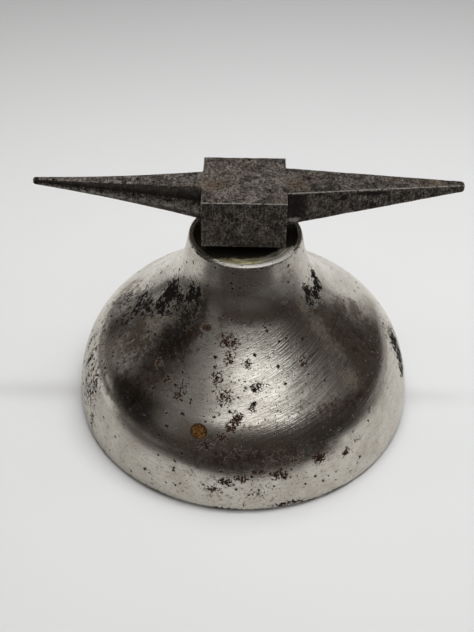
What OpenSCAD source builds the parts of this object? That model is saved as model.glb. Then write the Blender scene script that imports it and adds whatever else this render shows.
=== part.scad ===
// Miniature double-horn bench anvil: a forged stake standing in a weighted bell base.
// Millimetres, +Z up, bell axis on Z, bench surface at z = 0, round horn towards -X.

/* [Bell base] */
// Outer diameter of the bell at its lower edge
base_d = 76; // [75:0.5:76.5]
// Diameter of the neck at its top rim
neck_d = 23.8; // [23.4:0.1:24.4]
// Height of the neck's rim above the bell's lower edge
bell_h = 43.9; // [43.7:0.1:44.3]
// Thickness of the steel shell
wall = 2.4; // [1.8:0.1:2.8]
// Radius of the steep side above the lower edge
lip_r = 31; // [30.5:0.25:31.5]
// Angle that the side turns through, in degrees
lip_sweep = 22.5; // [22:0.25:23]
// Radius of the dome's shoulder
shoulder_r = 17.5; // [17:0.25:18]
// Angle that the shoulder turns through, in degrees
shoulder_sweep = 32; // [31.5:0.25:32.5]
// Angle that the hollow flare turns back, in degrees
flare_sweep = 13.5; // [13:0.25:14]
// Radius where the flare turns up into the neck
throat_r = 19; // [18:0.25:19.5]
// Angle that the throat turns back, in degrees
throat_sweep = 30; // [29.5:0.25:30.5]

/* [Socket] */
// Radius of the brass socket's body
socket_r = 8; // [7:0.25:8.5]
// Depth of the brass flange's top below the neck's rim
flange_drop = 0.35; // [0.2:0.05:0.6]
// Thickness of the brass flange
flange_t = 1.2; // [1:0.1:1.5]
// Radial clearance between the stake's tang and the socket, on each side
tang_clearance = 0.07; // [0.05:0.01:0.1]

/* [Foot] */
// Height that the bell's lower edge stands clear of the bench on its pad
edge_gap = 0.4; // [0.3:0.1:0.8]
// Thickness of the leather pad
pad_t = 2; // [1.5:0.25:2.5]
// Thickness of the steel plate that closes the bell's mouth
plate_t = 7; // [6.5:0.25:7.5]
// Radius of the spigot that the nut clamps
spigot_r = 4; // [3.5:0.25:4]
// Size of the nut across its flats
nut_af = 13; // [12:0.5:14]

/* [Stake] */
// Length of the block along the horns
block_w = 16.8; // [15:0.1:18]
// Depth of the block across the horns
block_d = 16.8; // [15:0.1:18]
// Height of the block
block_h = 10.4; // [10:0.1:11]
// Distance of the block's middle from the tang's middle, along the horns
block_shift = -0.4; // [-0.5:0.1:0.5]
// Height of the block's underside above the neck's rim
block_gap = 2.4; // [2:0.1:3]
// Width of the square waist under the block
waist_w = 10; // [9:0.25:11]
// Width of the square tang at its top
tang_w = 8; // [7:0.25:8.5]
// Width of the square tang at its lower end
tang_tip_w = 6.2; // [5.5:0.1:6.5]
// Length of the tang below the waist
tang_l = 26; // [22:0.5:27]

/* [Horns] */
// Length of the round horn from the block's face
round_horn_l = 34; // [32:0.5:36]
// Length of the square horn from the block's face
square_horn_l = 35.5; // [33.5:0.5:37]
// Radius of the round horn at the block
round_root_r = 4.8; // [4:0.05:5]
// Radius of the round horn's tip
round_tip_r = 0.75; // [0.6:0.05:1]
// How far the round horn's side is hollow at its middle
round_hollow = 0.35; // [0:0.05:0.4]
// Depth of the round horn's axis below the face, at the block
round_root_drop = 3.85; // [3.5:0.05:4.2]
// Depth of the round horn's axis below the face, at the tip
round_tip_drop = 0.95; // [0.8:0.05:1.1]
// Width of the square horn at the block
square_root_w = 9.4; // [8.5:0.1:10]
// Depth of the square horn at the block
square_root_h = 7.5; // [7:0.1:8]
// Width and depth of the square horn's blunt tip
square_tip = 1.5; // [1.2:0.1:1.8]

/* [Hidden] */
$fn = 96;
// How far a cut runs past the face that it has to break through
through = 1;
// Widest step along an arc, in degrees
arc_step_deg = 2.5;

// Bell outline: headings in degrees from +R towards +Z
base_r = base_d / 2;
neck_r = neck_d / 2;
rim_z = edge_gap + bell_h;
edge_round = 0.6;
rim_round = 0.6;
shoulder_heading = 90 + lip_sweep;
flare_heading = shoulder_heading + shoulder_sweep;
throat_heading = flare_heading - flare_sweep;
neck_heading = throat_heading - throat_sweep;

// Neck counterbore, bore and cavity
counterbore_r = neck_r - 1;
counterbore_z = rim_z - flange_drop - flange_t;
fit_gap = 0.05;
neck_bore_r = socket_r + fit_gap;
web_z = rim_z - 8;
rim_chamfer = 0.15;

// Foot, from the bench upwards
plate_z = pad_t;
plate_top_z = plate_z + plate_t;
seat_r = base_r - wall - 0.6;
mouth_chamfer = 0.4;
nut_recess_r = 11.5;
plate_web_t = 2.4;
washer_t = 1.2;
washer_r = 8;
nut_t = 4;
nut_face_share = 0.97;
washer_z = plate_top_z - plate_web_t - washer_t;
nut_z = washer_z - nut_t;
spigot_end_z = nut_z - 0.5;
spigot_chamfer = 0.6;
pad_hole_r = nut_recess_r + 1;
thread_gap = 0.05;

// Socket, from the rim downwards
flange_z = rim_z - flange_drop;
socket_floor_t = 3;
socket_bottom_z = flange_z - tang_l - socket_floor_t;
hole_depth = tang_l + 0.6;

// Stake
block_z = rim_z + block_gap;
face_z = block_z + block_h;
block_chamfer = 0.25;
tip_round = 0.45;
horn_root = 2;
tip_step_deg = 30;

// Displacement along an arc of radius r that starts at heading a and turns through sweep
function arc_move(r, a, sweep) =
    sign(sweep) * r * [sin(a + sweep) - sin(a), cos(a) - cos(a + sweep)];

// Unit vector to the left of heading a, which is towards the inside of the shell
function inward(a) = [-sin(a), cos(a)];

// Points of an arc from p, shifted inward by depth
function arc_points(p, r, a, sweep, depth) =
    let (n = ceil(abs(sweep) / arc_step_deg))
    [for (i = [0:n]) p + arc_move(r, a, sweep * i / n) + depth * inward(a + sweep * i / n)];

// The flare's radius and the neck's straight length bring the outline to the rim
lip_start = [base_r, edge_gap + edge_round];
shoulder_start = lip_start + arc_move(lip_r, 90, lip_sweep);
flare_start = shoulder_start + arc_move(shoulder_r, shoulder_heading, shoulder_sweep);
rim_turn = arc_move(rim_round, neck_heading, 180 - neck_heading);
neck_top = [neck_r, rim_z - rim_turn[1]];
flare_unit = arc_move(1, flare_heading, -flare_sweep);
neck_unit = [cos(neck_heading), sin(neck_heading)];
left_over = neck_top - flare_start - arc_move(throat_r, throat_heading, -throat_sweep);
flare_neck_det = flare_unit[0] * neck_unit[1] - flare_unit[1] * neck_unit[0];
flare_r = (left_over[0] * neck_unit[1] - left_over[1] * neck_unit[0]) / flare_neck_det;
neck_run = (flare_unit[0] * left_over[1] - flare_unit[1] * left_over[0]) / flare_neck_det;
throat_start = flare_start + flare_r * flare_unit;
assert(flare_r > 0 && neck_run > 0, "the bell's arcs do not reach the rim");

// The bell's side from its lip to the top of the neck, shifted inward by depth
function bell_side(depth) = concat(
    arc_points(lip_start, lip_r, 90, lip_sweep, depth),
    arc_points(shoulder_start, shoulder_r, shoulder_heading, shoulder_sweep, depth),
    arc_points(flare_start, flare_r, flare_heading, -flare_sweep, depth),
    arc_points(throat_start, throat_r, throat_heading, -throat_sweep, depth),
    [neck_top + depth * inward(neck_heading)]);

function reversed(v) = [for (i = [len(v) - 1:-1:0]) v[i]];

// The cavity's side between the plate's seat and the neck's web, from the top down
cavity_side = reversed([for (p = bell_side(wall)) if (p[1] > plate_top_z && p[1] < web_z) p]);
cavity_top_r = cavity_side[0][0];
cavity_foot_r = cavity_side[len(cavity_side) - 1][0];

// Turned steel shell: bell outside, counterbored neck, hollow inside, seat for the plate
module bell_base() {
    color("silver")
    rotate_extrude()
        polygon(concat(
            [[seat_r + mouth_chamfer, edge_gap]],
            arc_points([base_r - edge_round, edge_gap], edge_round, 0, 90, 0),
            bell_side(0),
            arc_points(neck_top, rim_round, neck_heading, 180 - neck_heading, 0),
            [[counterbore_r + rim_chamfer, rim_z],
             [counterbore_r, rim_z - rim_chamfer],
             [counterbore_r, counterbore_z],
             [neck_bore_r, counterbore_z],
             [neck_bore_r, web_z],
             [cavity_top_r, web_z]],
            cavity_side,
            [[cavity_foot_r, plate_top_z],
             [seat_r, plate_top_z],
             [seat_r, edge_gap + mouth_chamfer]]));
}

// Square prism that tapers from width top_w at z = 0 to width tip_w at z = -length
module square_taper(top_w, tip_w, length) {
    side = [[-top_w / 2, 0], [top_w / 2, 0], [tip_w / 2, -length], [-tip_w / 2, -length]];
    intersection() {
        rotate([90, 0, 0])
            linear_extrude(height = 2 * top_w, center = true)
            polygon(side);
        rotate([90, 0, 90])
            linear_extrude(height = 2 * top_w, center = true)
            polygon(side);
    }
}

// Brass socket: flange in the neck, tapered square hole, spigot that takes the nut
module neck_socket() {
    tang_slope = (tang_w - tang_tip_w) / tang_l;
    hole_w = tang_w + 2 * tang_clearance;
    color("goldenrod")
    difference() {
        rotate_extrude()
            polygon([[0, spigot_end_z],
                     [spigot_r - spigot_chamfer, spigot_end_z],
                     [spigot_r, spigot_end_z + spigot_chamfer],
                     [spigot_r, socket_bottom_z],
                     [socket_r, socket_bottom_z],
                     [socket_r, counterbore_z],
                     [counterbore_r - fit_gap, counterbore_z],
                     [counterbore_r - fit_gap, flange_z - rim_chamfer],
                     [counterbore_r - fit_gap - rim_chamfer, flange_z],
                     [0, flange_z]]);
        translate([0, 0, flange_z + through])
            square_taper(hole_w + through * tang_slope,
                         hole_w - hole_depth * tang_slope,
                         hole_depth + through);
    }
}

// Iron slug that weights the bell, cast around the socket
module ballast() {
    color("dimgray")
    rotate_extrude()
        polygon(concat(
            [[spigot_r + fit_gap, socket_bottom_z],
             [spigot_r + fit_gap, plate_top_z],
             [cavity_foot_r, plate_top_z]],
            reversed(cavity_side),
            [[cavity_top_r, web_z],
             [socket_r + fit_gap, web_z],
             [socket_r + fit_gap, socket_bottom_z]]));
}

// Steel plate that closes the mouth, recessed from below for the washer and the nut
module base_plate() {
    plate_r = seat_r - fit_gap;
    color("gray")
    rotate_extrude()
        polygon([[spigot_r + thread_gap, washer_z + washer_t],
                 [nut_recess_r, washer_z + washer_t],
                 [nut_recess_r, plate_z + mouth_chamfer],
                 [nut_recess_r + mouth_chamfer, plate_z],
                 [plate_r - mouth_chamfer, plate_z],
                 [plate_r, plate_z + mouth_chamfer],
                 [plate_r, plate_top_z],
                 [spigot_r + thread_gap, plate_top_z]]);
}

// Washer between the plate and the nut
module clamp_washer() {
    color("lightgray")
    translate([0, 0, washer_z])
        difference() {
            cylinder(r = washer_r, h = washer_t);
            translate([0, 0, -through])
                cylinder(r = spigot_r + thread_gap, h = washer_t + 2 * through);
        }
}

// Hexagonal nut with its outer corners turned off below
module clamp_nut() {
    flat_r = nut_af / 2;
    corner_r = flat_r / cos(30);
    corner_cut = corner_r - nut_face_share * flat_r;
    color("slategray")
    translate([0, 0, nut_z])
        difference() {
            intersection() {
                cylinder(r = corner_r, h = nut_t, $fn = 6);
                rotate_extrude()
                    polygon([[0, 0],
                             [corner_r - corner_cut, 0],
                             [corner_r, corner_cut * tan(30)],
                             [corner_r, nut_t],
                             [0, nut_t]]);
            }
            translate([0, 0, -through])
                cylinder(r = spigot_r + thread_gap, h = nut_t + 2 * through);
        }
}

// Leather ring that the anvil stands on
module base_pad() {
    color("saddlebrown")
    difference() {
        cylinder(r = seat_r - 2 * fit_gap, h = pad_t);
        translate([0, 0, -through])
            cylinder(r = pad_hole_r, h = pad_t + 2 * through);
    }
}

// Block from a corner at its lowest X, Y and Z, with all its edges broken
module working_block() {
    // Outline of a face that is a by b
    function broken(a, b, c) = [[c, 0], [a - c, 0], [a, c], [a, b - c],
                                [a - c, b], [c, b], [0, b - c], [0, c]];
    intersection() {
        linear_extrude(height = block_h)
            polygon(broken(block_w, block_d, block_chamfer));
        translate([0, block_d, 0])
            rotate([90, 0, 0])
            linear_extrude(height = block_d)
            polygon(broken(block_w, block_h, block_chamfer));
        rotate([90, 0, 90])
            linear_extrude(height = block_w)
            polygon(broken(block_d, block_h, block_chamfer));
    }
}

// Round horn towards -X, from a root inside the block, cut flush with the face
module round_horn() {
    taper_l = round_horn_l - tip_round;
    slope = (round_root_drop - round_tip_drop) / taper_l;
    function radius(t) = round_root_r + (round_tip_r - round_root_r) * t
                         - 4 * round_hollow * t * (1 - t);
    steps = 16;
    side = [for (i = [0:steps]) [radius(i / steps), taper_l * i / steps]];
    intersection() {
        translate([0, 0, -round_root_drop])
            rotate([0, -90 + atan(slope), 0])
            rotate_extrude()
            polygon(concat([[0, -horn_root], [round_root_r, -horn_root]],
                           side,
                           [[round_tip_r - tip_round, round_horn_l],
                            [0, round_horn_l]]));
        translate([-2 * round_horn_l, -block_d / 2, -block_h])
            cube([3 * round_horn_l, block_d, block_h]);
    }
}

// Outline of a taper that starts at 0 and ends in a blunt end with two rounded corners
function blunt_taper(low, high, tip_low, tip_high, length) = concat(
    [[-horn_root, high], [-horn_root, low], [0, low]],
    [for (a = [-90:tip_step_deg:0])
        [length - tip_round, tip_low + tip_round] + tip_round * [cos(a), sin(a)]],
    [for (a = [0:tip_step_deg:90])
        [length - tip_round, tip_high - tip_round] + tip_round * [cos(a), sin(a)]],
    [[0, high]]);

// Square horn towards +X with its flat top level with the face
module square_horn() {
    intersection() {
        translate([0, 0, -block_h])
            linear_extrude(height = block_h)
            polygon(blunt_taper(-square_root_w / 2, square_root_w / 2,
                                -square_tip / 2, square_tip / 2, square_horn_l));
        rotate([90, 0, 0])
            linear_extrude(height = 2 * square_root_w, center = true)
            polygon(blunt_taper(-square_root_h, 0, -square_tip, 0, square_horn_l));
    }
}

// Forged stake: working block, two horns, waist that rests on the socket, square tang
module double_horn_stake() {
    color("dimgray") {
        translate([block_shift - block_w / 2, -block_d / 2, block_z])
            working_block();
        translate([block_shift - block_w / 2, 0, face_z])
            round_horn();
        translate([block_shift + block_w / 2, 0, face_z])
            square_horn();
        translate([-waist_w / 2, -waist_w / 2, flange_z])
            cube([waist_w, waist_w, block_z - flange_z + through]);
        translate([0, 0, flange_z])
            square_taper(tang_w, tang_tip_w, tang_l);
    }
}

double_horn_stake();
bell_base();
neck_socket();
ballast();
base_plate();
clamp_washer();
clamp_nut();
base_pad();
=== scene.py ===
"""Looks for the miniature double-horn bench anvil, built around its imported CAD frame."""
import math
from types import SimpleNamespace

import bmesh
import bpy
import numpy as np
from mathutils import Matrix, Vector


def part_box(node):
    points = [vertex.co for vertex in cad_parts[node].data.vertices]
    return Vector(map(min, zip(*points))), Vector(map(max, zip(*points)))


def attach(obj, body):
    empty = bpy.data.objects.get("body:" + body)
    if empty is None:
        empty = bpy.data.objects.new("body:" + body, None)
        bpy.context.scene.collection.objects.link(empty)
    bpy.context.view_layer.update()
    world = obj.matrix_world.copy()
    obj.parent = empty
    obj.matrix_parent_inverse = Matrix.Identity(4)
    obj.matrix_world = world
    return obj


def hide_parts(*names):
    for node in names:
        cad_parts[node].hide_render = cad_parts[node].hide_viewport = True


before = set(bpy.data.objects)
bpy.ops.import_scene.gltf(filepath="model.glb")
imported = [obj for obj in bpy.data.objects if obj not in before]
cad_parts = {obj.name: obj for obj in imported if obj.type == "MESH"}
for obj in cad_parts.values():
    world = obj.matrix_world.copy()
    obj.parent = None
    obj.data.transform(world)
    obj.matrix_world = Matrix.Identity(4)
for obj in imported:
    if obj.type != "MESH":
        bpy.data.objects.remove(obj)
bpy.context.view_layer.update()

MM = 0.001


# ---- sizes from the frame, in mm

def box_mm(node):
    """Lowest and highest corners of a CAD node in millimetres."""
    low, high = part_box(node)
    return low / MM, high / MM


bell_low, bell_high = box_mm("bell_base")
stake_low, stake_high = box_mm("double_horn_stake")
socket_low, socket_high = box_mm("neck_socket")
plate_low, plate_high = box_mm("base_plate")
washer_low, washer_high = box_mm("clamp_washer")
nut_low, nut_high = box_mm("clamp_nut")
pad_high = box_mm("base_pad")[1]

BASE_R = bell_high.x
EDGE_Z = bell_low.z
RIM_Z = bell_high.z
FLANGE_R = socket_high.x
FLANGE_Z = socket_high.z
FACE_Z = stake_high.z
PLATE_R = plate_high.x
PAD_R = pad_high.x
WASHER_R = washer_high.x

# Sizes that no node's box gives
FIT_GAP = 0.05
RIM_WIDTH = 1.0
WALL = 2.4
NECK_DEPTH = 8.0
EDGE_ROUND = 0.6
RIM_ROUND = 0.6
NECK_R = FLANGE_R + FIT_GAP + RIM_WIDTH
FLANGE_T = 1.2
SOCKET_R = 8.0
SOCKET_FLOOR = 3.0
SPIGOT_R = 4.0
THREAD_PITCH = 1.25
THREAD_DEPTH = 0.55
TANG_W = 8.0
TANG_TIP_W = 6.2
TANG_L = 26.0
TANG_CLEARANCE = 0.07
TANG_END_GAP = 0.6
TANG_SLOPE = (TANG_W - TANG_TIP_W) / TANG_L
WAIST_W = 10.0
BLOCK_W = 16.8
BLOCK_D = 16.8
BLOCK_H = 10.4
BLOCK_SHIFT = -0.4
BLOCK_LEFT = BLOCK_SHIFT - BLOCK_W / 2
BLOCK_RIGHT = BLOCK_SHIFT + BLOCK_W / 2
BLOCK_FRONT = -BLOCK_D / 2
SPIGOT_HOLE_R = SPIGOT_R + FIT_GAP
NUT_RECESS_R = 11.5
PLATE_WEB_T = 2.4
PAD_HOLE_R = 12.5

OVERLAP = 1.0  # how far one solid reaches into the next before they are joined or cut

# The bell's side: (radius, signed sweep in degrees) of each arc, the flare's radius left open
LIP_ARC = (31.0, 22.5)
SHOULDER_ARC = (17.5, 32.0)
FLARE_SWEEP = -13.5
THROAT_ARC = (19.0, -30.0)


# ---- outlines

def arc_move(radius, heading, sweep):
    """Displacement along an arc that starts at a heading from +R and turns through sweep, in degrees."""
    a, b = math.radians(heading), math.radians(heading + sweep)
    side = math.copysign(1.0, sweep)
    return side * radius * np.array([math.sin(b) - math.sin(a), math.cos(a) - math.cos(b)])


def arc_points(start, radius, heading, sweep, depth, step):
    """Points of an arc, no further apart than step in mm, shifted inward by depth."""
    count = max(2, math.ceil(radius * math.radians(abs(sweep)) / step))
    points = []
    for i in range(count + 1):
        turned = sweep * i / count
        moved = arc_move(radius, heading, turned) if i else np.zeros(2)
        angle = math.radians(heading + turned)
        points.append(start + moved + depth * np.array([-math.sin(angle), math.cos(angle)]))
    return points


def bell_side(depth, step):
    """The bell's side from its lip to the top of its neck, shifted inward by depth, and its rim."""
    start = np.array([BASE_R, EDGE_Z + EDGE_ROUND])
    sweeps = [LIP_ARC[1], SHOULDER_ARC[1], FLARE_SWEEP, THROAT_ARC[1]]
    headings = [90 + sum(sweeps[:i]) for i in range(5)]
    neck_heading = headings[4]
    rim_turn = arc_move(RIM_ROUND, neck_heading, 180 - neck_heading)
    neck_top = np.array([NECK_R, RIM_Z - rim_turn[1]])
    neck_unit = np.array([math.cos(math.radians(neck_heading)), math.sin(math.radians(neck_heading))])
    flare_unit = arc_move(1.0, headings[2], FLARE_SWEEP)
    # The flare's radius and the neck's length are what the other arcs leave open
    left_over = neck_top - start
    for i, (radius, sweep) in ((0, LIP_ARC), (1, SHOULDER_ARC), (3, THROAT_ARC)):
        left_over = left_over - arc_move(radius, headings[i], sweep)
    flare_r, neck_run = np.linalg.solve(np.column_stack([flare_unit, neck_unit]), left_over)
    points = []
    radii = (LIP_ARC[0], SHOULDER_ARC[0], flare_r, THROAT_ARC[0])
    for radius, sweep, heading in zip(radii, sweeps, headings):
        points += arc_points(start, radius, heading, sweep, depth, step)[1 if points else 0:]
        start = start + arc_move(radius, heading, sweep)
    inward = np.array([-neck_unit[1], neck_unit[0]])
    straight = max(2, math.ceil(neck_run / step))
    for i in range(1, straight + 1):
        points.append(neck_top - neck_unit * neck_run * (1 - i / straight) + depth * inward)
    rim = arc_points(neck_top, RIM_ROUND, neck_heading, 180 - neck_heading, depth, step / 2)
    return points, (rim[1:] if depth == 0 else [])


def rounded(corners, radius, steps=4):
    """A closed outline of (r, z) corners with each corner rounded, where the sides leave room."""
    points = []
    count = len(corners)
    for i in range(count):
        before, here, after = (np.array(corners[(i + k) % count], float) for k in (-1, 0, 1))
        to_before, to_after = before - here, after - here
        room = 0.45 * min(np.linalg.norm(to_before), np.linalg.norm(to_after))
        reach = min(radius, room)
        start = here + to_before / np.linalg.norm(to_before) * reach
        end = here + to_after / np.linalg.norm(to_after) * reach
        for k in range(steps + 1):
            t = k / steps
            points.append((1 - t) ** 2 * start + 2 * t * (1 - t) * here + t ** 2 * end)
    return points


# ---- meshes

def new_object(name, data):
    """An object in the scene."""
    made = bpy.data.objects.new(name, data)
    bpy.context.scene.collection.objects.link(made)
    return made


def add_piece(name, verts_mm, faces, body, nodes, slot, smooth=True):
    """A mesh object from points in mm that rides on a body and stands for CAD nodes."""
    mesh = bpy.data.meshes.new(name)
    mesh.from_pydata((np.asarray(verts_mm, float) * MM).tolist(), [], faces)
    mesh.validate()
    bm = bmesh.new()
    bm.from_mesh(mesh)
    bmesh.ops.recalc_face_normals(bm, faces=bm.faces)
    bm.to_mesh(mesh)
    bm.free()
    if smooth:
        mesh.shade_smooth()
    else:
        mesh.shade_flat()
    piece = new_object(name, mesh)
    if body:
        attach(piece, body)
        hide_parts(*nodes)
    return piece


def ring_grid(outline, segments, radius_at=None):
    """Verts and quads of a closed outline of (r, z) turned round Z. radius_at(angle, r, z) may change r."""
    outline = np.asarray(outline, float)
    angles = np.linspace(0, 2 * math.pi, segments, endpoint=False)
    turn, r = np.meshgrid(angles, outline[:, 0], indexing="ij")
    z = np.broadcast_to(outline[:, 1], r.shape)
    if radius_at:
        r = radius_at(turn, r, z)
    verts = np.stack([r * np.cos(turn), r * np.sin(turn), z], -1).reshape(-1, 3)
    rows = len(outline)
    i, j = np.meshgrid(np.arange(segments), np.arange(rows), indexing="ij")
    i2, j2 = (i + 1) % segments, (j + 1) % rows
    faces = np.stack([i * rows + j, i2 * rows + j, i2 * rows + j2, i * rows + j2], -1)
    return verts, faces.reshape(-1, 4).tolist()


def stacked_disc(profile, segments, radius_at=None):
    """Verts and faces of a solid that reaches the axis: rings of (r, z) closed by a disc at each end."""
    profile = np.asarray(profile, float)
    verts, faces = ring_grid(profile, segments, radius_at)
    rows = len(profile)
    faces = [f for f in faces if not (f[0] % rows == rows - 1)]
    for end in (0, rows - 1):
        faces.append([i * rows + end for i in range(segments)])
    return verts, faces


def box_mesh(low, high):
    """Verts and faces of a box."""
    verts = [(x, y, z) for x in (low[0], high[0]) for y in (low[1], high[1]) for z in (low[2], high[2])]
    faces = [(0, 1, 3, 2), (4, 6, 7, 5), (0, 4, 5, 1), (2, 3, 7, 6), (0, 2, 6, 4), (1, 5, 7, 3)]
    return verts, faces


def loft(sections):
    """Verts and faces of a skin through sections with equal numbers of points, closed at both ends."""
    count = len(sections[0])
    verts = [p for section in sections for p in section]
    faces = []
    for k in range(len(sections) - 1):
        for i in range(count):
            j = (i + 1) % count
            faces.append((k * count + i, k * count + j, (k + 1) * count + j, (k + 1) * count + i))
    faces.append(tuple(range(count)))
    faces.append(tuple(range((len(sections) - 1) * count, len(sections) * count)))
    return verts, faces


def apply_modifiers(piece):
    """Puts the result of a piece's modifiers in its mesh."""
    graph = bpy.context.evaluated_depsgraph_get()
    old = piece.data
    piece.data = bpy.data.meshes.new_from_object(piece.evaluated_get(graph))
    piece.modifiers.clear()
    bpy.data.meshes.remove(old)


def combine(piece, name, solid, operation):
    """Joins a solid (verts, faces) into a piece, or cuts it out."""
    other = add_piece(name, *solid, None, (), None, smooth=False)
    modifier = piece.modifiers.new("combine", "BOOLEAN")
    modifier.operation = operation
    modifier.solver = "EXACT"
    modifier.object = other
    apply_modifiers(piece)
    bpy.data.objects.remove(other)


def bevel_edges(piece, width, segments, angle):
    """Rounds the edges that turn by more than an angle in degrees. The width is in mm."""
    bevel = piece.modifiers.new("edges", "BEVEL")
    bevel.width = width * MM
    bevel.segments = segments
    bevel.limit_method = "ANGLE"
    bevel.angle_limit = math.radians(angle)
    apply_modifiers(piece)


def square_prism(top_w, tip_w, top_z, length):
    """Verts and faces of a square prism that tapers downwards."""
    def ring(width, z):
        half = width / 2
        return [(-half, -half, z), (half, -half, z), (half, half, z), (-half, half, z)]
    return loft([ring(top_w, top_z), ring(tip_w, top_z - length)])


def set_attribute(piece, name, values):
    """Stores one number per vertex."""
    attribute = piece.data.attributes.new(name, "FLOAT", "POINT")
    attribute.data.foreach_set("value", np.asarray(values, np.float32))


def vertex_values(piece, key):
    """Three numbers for each vertex."""
    values = np.zeros(len(piece.data.vertices) * 3)
    piece.data.vertices.foreach_get(key, values)
    return values.reshape(-1, 3)


def vertex_points(piece):
    """The vertices in mm."""
    return vertex_values(piece, "co") / MM


def move_vertices(piece, points_mm):
    """Puts the vertices at these places in mm."""
    piece.data.vertices.foreach_set("co", (points_mm * MM).ravel())
    piece.data.update()


def waves(points, wavelength, count, seed):
    """Smooth irregular values of about -1 to 1 from plane waves in every direction."""
    rng = np.random.default_rng(seed)
    total = np.zeros(len(points))
    for _ in range(count):
        direction = rng.normal(size=3)
        direction /= np.linalg.norm(direction)
        length = wavelength * rng.uniform(0.7, 1.6)
        total += np.sin(points @ direction * 2 * math.pi / length + rng.uniform(0, 2 * math.pi))
    return total / math.sqrt(count)


# ---- node graphs

class Graph:
    """Short calls for building a node tree. A value may be a number or another node's output."""

    def __init__(self, tree):
        self.tree = tree
        tree.nodes.clear()

    def node(self, kind, inputs=None, **settings):
        """A new node. Inputs are values by the input's name or number."""
        made = self.tree.nodes.new(kind)
        for key, value in settings.items():
            setattr(made, key, value)
        for key, value in (inputs or {}).items():
            if isinstance(value, bpy.types.NodeSocket):
                self.tree.links.new(value, made.inputs[key])
            elif value is not None:
                made.inputs[key].default_value = value
        return made

    def math(self, operation, a, b=None, c=None):
        return self.node("ShaderNodeMath", {0: a, 1: b, 2: c}, operation=operation).outputs[0]

    def chain(self, operation, values):
        """One operation over all the values in turn."""
        result = values[0]
        for value in values[1:]:
            result = self.math(operation, result, value)
        return result

    def times(self, *values):
        return self.chain("MULTIPLY", values)

    def plus(self, *values):
        return self.chain("ADD", values)

    def most(self, *values):
        """The largest of the values."""
        return self.chain("MAXIMUM", values)

    def minus(self, a, b):
        return self.math("SUBTRACT", a, b)

    def line(self, value, slope, offset):
        """value * slope + offset."""
        return self.math("MULTIPLY_ADD", value, slope, offset)

    def vector(self, operation, a, b=None):
        made = self.node("ShaderNodeVectorMath", {0: a, 1: b}, operation=operation)
        return made.outputs["Value" if operation in ("LENGTH", "DISTANCE", "DOT_PRODUCT") else "Vector"]

    def scaled(self, a, factor):
        return self.node("ShaderNodeVectorMath", {0: a, "Scale": factor}, operation="SCALE").outputs["Vector"]

    def split(self, vector):
        return self.node("ShaderNodeSeparateXYZ", {0: vector}).outputs

    def join(self, x, y, z):
        return self.node("ShaderNodeCombineXYZ", {0: x, 1: y, 2: z}).outputs[0]

    def step(self, value, low, high, out_low=0.0, out_high=1.0):
        """A smooth step from out_low at low to out_high at high."""
        inputs = {"Value": value, "From Min": low, "From Max": high, "To Min": out_low, "To Max": out_high}
        return self.node("ShaderNodeMapRange", inputs, interpolation_type="SMOOTHSTEP").outputs["Result"]

    def noise(self, vector, scale, detail=2.0, roughness=0.5, distortion=0.0):
        inputs = {"Vector": vector, "Scale": scale, "Detail": detail, "Roughness": roughness,
                  "Distortion": distortion}
        return self.node("ShaderNodeTexNoise", inputs).outputs["Fac"]

    def cells(self, vector, scale):
        """Voronoi cells: distance to the nearest point, and a random number for the cell."""
        made = self.node("ShaderNodeTexVoronoi", {"Vector": vector, "Scale": scale})
        return made.outputs["Distance"], self.split(made.outputs["Color"])[0]

    def mix(self, factor, a, b):
        """Colour a where factor is 0 and b where it is 1."""
        inputs = {"Factor": factor, 6: colour(a), 7: colour(b)}
        return self.node("ShaderNodeMix", inputs, data_type="RGBA").outputs[2]

    def blend(self, factor, a, b):
        """Number a where factor is 0 and b where it is 1."""
        return self.node("ShaderNodeMix", {"Factor": factor, 2: a, 3: b}, data_type="FLOAT").outputs[0]

    def coats(self, below, *layers):
        """A colour under layers of (amount, strength, colour), the last one on top."""
        for amount, strength, cover in layers:
            covered = amount if strength == 1.0 else self.times(amount, strength)
            below = self.mix(covered, below, cover)
        return below

    def attribute(self, name):
        return self.node("ShaderNodeAttribute", attribute_name=name).outputs["Fac"]

    def bump(self, height_mm):
        """A normal from a height in mm."""
        return self.node("ShaderNodeBump", {"Distance": MM, "Height": height_mm}).outputs["Normal"]

    def shine(self, shader_kind, output_kind, **inputs):
        """A shader with these inputs as the tree's surface."""
        named = {key.replace("_", " "): value for key, value in inputs.items()}
        shader = self.node(shader_kind, named)
        self.node(output_kind, {"Surface": shader.outputs[0]})

    def surface(self, **inputs):
        """A Principled surface as the material's output."""
        self.shine("ShaderNodeBsdfPrincipled", "ShaderNodeOutputMaterial", **inputs)


def colour(value):
    """A colour with its alpha, where it is given as three numbers."""
    return (*value, 1.0) if isinstance(value, tuple) and len(value) == 3 else value


def new_material(name):
    """A new material, the graph of its nodes, and the point on the piece at rest in mm."""
    material = bpy.data.materials.new(name)
    material.use_nodes = True
    g = Graph(material.node_tree)
    return material, g, g.scaled(g.node("ShaderNodeTexCoord").outputs["Object"], 1 / MM)


def dress(piece, material):
    """Gives a piece one material."""
    piece.data.materials.clear()
    piece.data.materials.append(material)


# ---- materials

RUST_DARK = (0.012, 0.0072, 0.005)
RUST_ORANGE = (0.085, 0.038, 0.016)

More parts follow.
